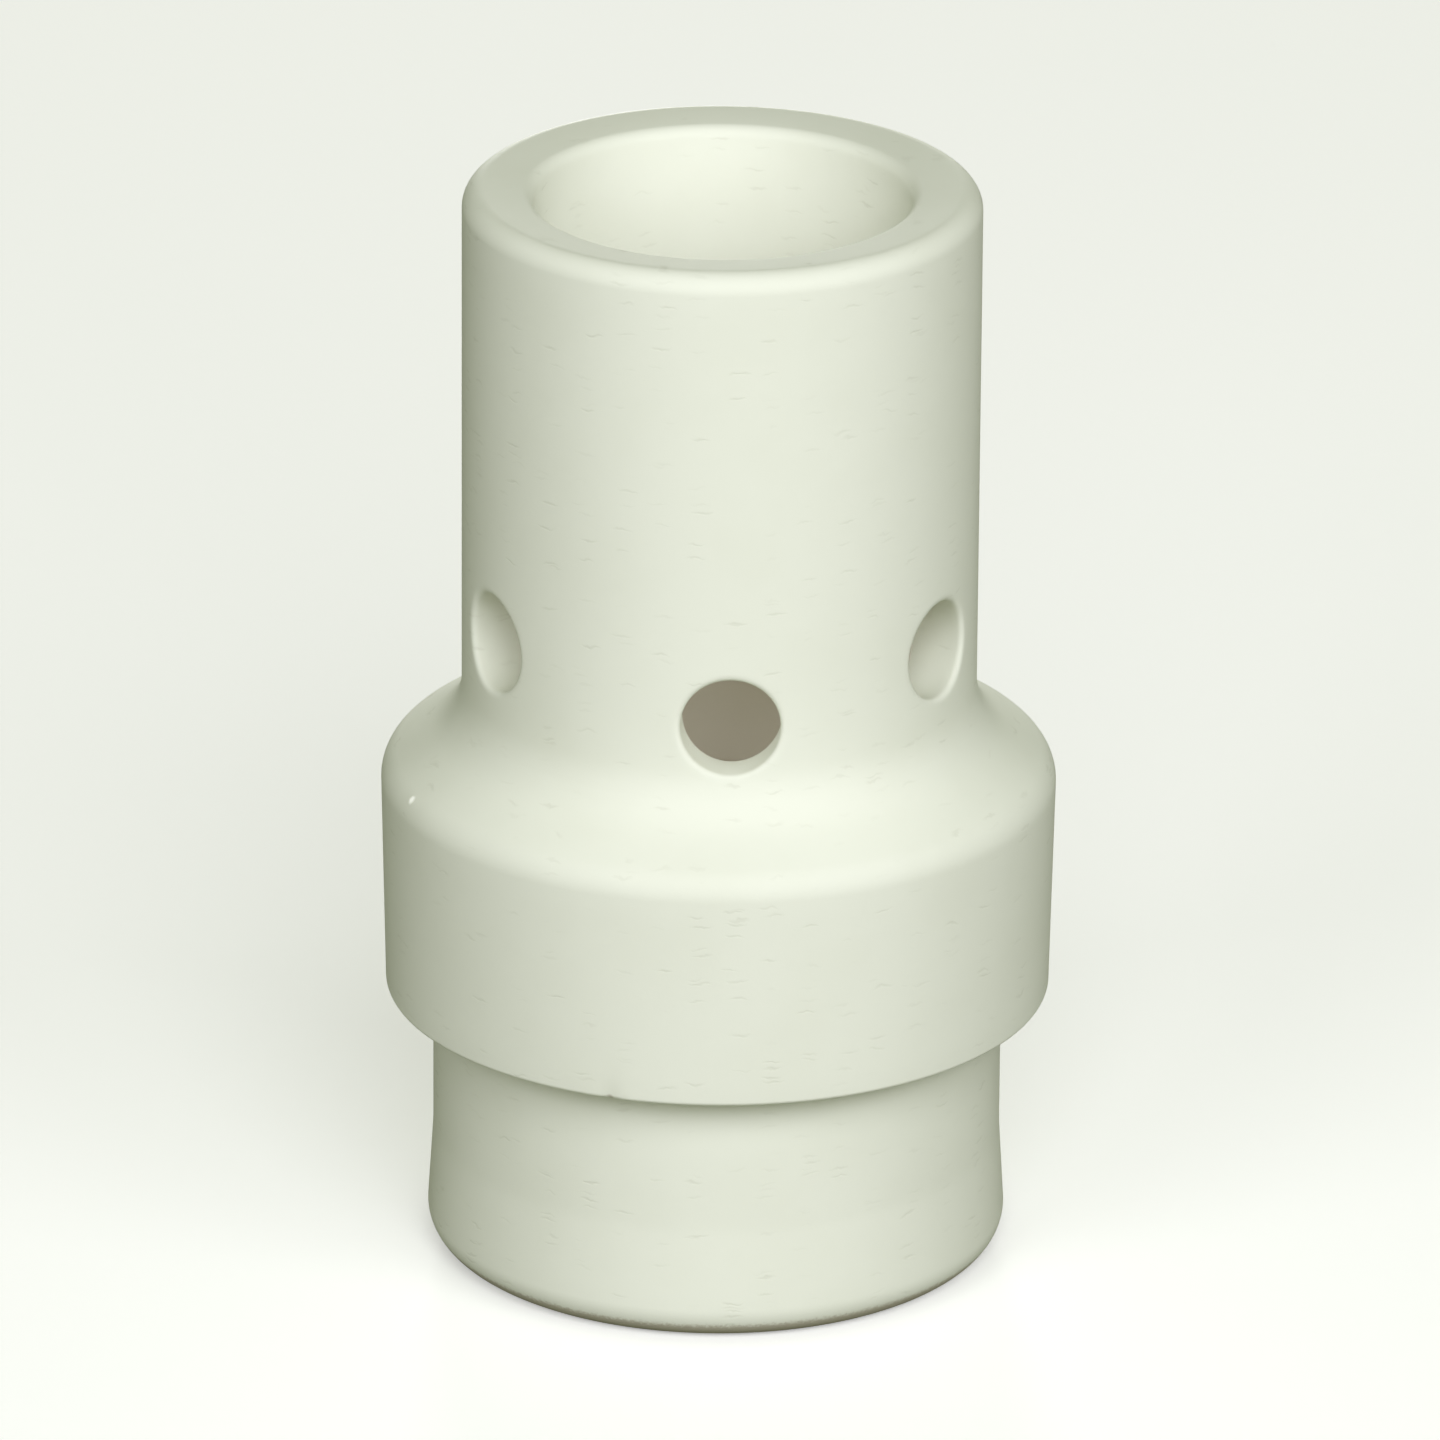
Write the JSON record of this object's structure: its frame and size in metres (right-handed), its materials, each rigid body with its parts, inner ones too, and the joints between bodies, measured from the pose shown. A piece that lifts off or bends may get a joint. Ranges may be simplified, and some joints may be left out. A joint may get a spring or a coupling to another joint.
{
  "type": "gas diffuser",
  "caption": "White ceramic gas diffuser for a MIG/MAG welding torch: stepped sleeve with a collar, a stepped bore and slanted gas holes in two staggered rows.",
  "frame": {"origin": "centre of the bottom face, which is the end that sits on the torch neck", "axes": "+Z along the bore towards the contact tip's end; a gas hole of the low row faces -Y"},
  "size_m": [0.0196, 0.0196, 0.0325],
  "materials": {
    "ceramic": "matte off-white ceramic with fine turning flecks"
  },
  "bodies": {
    "root": {"gas_diffuser": "ceramic"}
  },
  "joints": []
}
